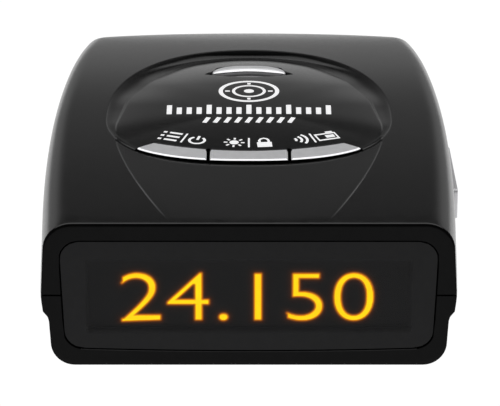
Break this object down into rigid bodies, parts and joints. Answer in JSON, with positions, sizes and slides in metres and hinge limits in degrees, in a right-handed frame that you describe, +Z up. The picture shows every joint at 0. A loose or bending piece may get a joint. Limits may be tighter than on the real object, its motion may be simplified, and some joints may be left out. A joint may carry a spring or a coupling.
{
  "type": "radar detector",
  "caption": "Compact windscreen radar detector: black housing, smoked display window, silver control keys in an oval dish and a bracket-release bar.",
  "frame": {"origin": "on the resting surface, below the middle of the body", "axes": "+Z up; the display window faces -Y, the antenna and rear window face +Y, +X is the right side seen from the driver"},
  "size_m": [0.0675, 0.097, 0.0268],
  "materials": {
    "black_plastic": "satin black, moulded",
    "smoked_plastic": "smoked, smooth, lets the display or the receiver see through",
    "silver": "silver painted plastic, satin",
    "black_rubber": "matte black rubber",
    "steel": "plain steel",
    "plated_horn": "plated die-cast metal",
    "circuit_board": "green solder mask",
    "chip_black": "moulded electronic part",
    "ribbon_film": "amber film",
    "ceramic": "fired ceramic",
    "display_glass": "dark display glass"
  },
  "bodies": {
    "body": {"top_housing": "black_plastic", "bottom_housing": "black_plastic", "bracket_channel": "black_plastic", "display_window": "smoked_plastic", "rear_window": "smoked_plastic", "laser_lens": "smoked_plastic", "side_trim": "silver", "front_foot": "black_rubber", "rear_foot_left": "black_rubber", "rear_foot_right": "black_rubber", "speaker_gasket": "black_rubber", "latch_spring": "steel", "shield_can": "steel", "speaker": "steel", "data_socket": "steel", "board_screw_left": "steel", "board_screw_right": "steel", "horn_screw_left": "steel", "horn_screw_right": "steel", "housing_screw_front_left": "steel", "housing_screw_front_right": "steel", "housing_screw_rear_left": "steel", "housing_screw_rear_right": "steel", "horn_antenna": "plated_horn", "main_board": "circuit_board", "keypad_board": "circuit_board", "side_board": "circuit_board", "display_board": "circuit_board", "radio_board": "circuit_board", "processor_chip": "chip_black", "signal_chip": "chip_black", "backup_capacitor": "chip_black", "left_switch": "chip_black", "centre_switch": "chip_black", "right_switch": "chip_black", "side_key_front_switch": "chip_black", "side_key_rear_switch": "chip_black", "laser_sensor": "chip_black", "power_jack": "chip_black", "earphone_jack": "chip_black", "display_ribbon": "ribbon_film", "gps_antenna": "ceramic", "display_panel": "display_glass"},
    "left_key_body": {"left_key": "silver", "left_plunger": "steel"},
    "centre_key_body": {"centre_key": "silver", "centre_plunger": "steel"},
    "right_key_body": {"right_key": "silver", "right_plunger": "steel"},
    "release_body": {"release_bar": "silver", "bracket_latch": "black_plastic"},
    "side_key_front_body": {"side_key_front": "silver", "side_key_front_plunger": "steel"},
    "side_key_rear_body": {"side_key_rear": "silver", "side_key_rear_plunger": "steel"}
  },
  "joints": [
    {"name": "left_key_press", "type": "slide", "parent": "body", "child": "left_key_body", "axis": [0, 0, -1], "range_m": [0, 0.0006], "stiffness_N_per_m": 900},
    {"name": "centre_key_press", "type": "slide", "parent": "body", "child": "centre_key_body", "axis": [0, 0, -1], "range_m": [0, 0.0006], "stiffness_N_per_m": 900},
    {"name": "right_key_press", "type": "slide", "parent": "body", "child": "right_key_body", "axis": [0, 0, -1], "range_m": [0, 0.0006], "stiffness_N_per_m": 900},
    {"name": "release_bar_press", "type": "slide", "parent": "body", "child": "release_body", "axis": [0, 0, -1], "range_m": [0, 0.001], "stiffness_N_per_m": 1500, "deforming": ["latch_spring"]},
    {"name": "side_key_front_press", "type": "slide", "parent": "body", "child": "side_key_front_body", "axis": [-0.9998, -0.022, 0], "range_m": [0, 0.0005], "stiffness_N_per_m": 900},
    {"name": "side_key_rear_press", "type": "slide", "parent": "body", "child": "side_key_rear_body", "axis": [-0.9998, -0.022, 0], "range_m": [0, 0.0005], "stiffness_N_per_m": 900}
  ]
}
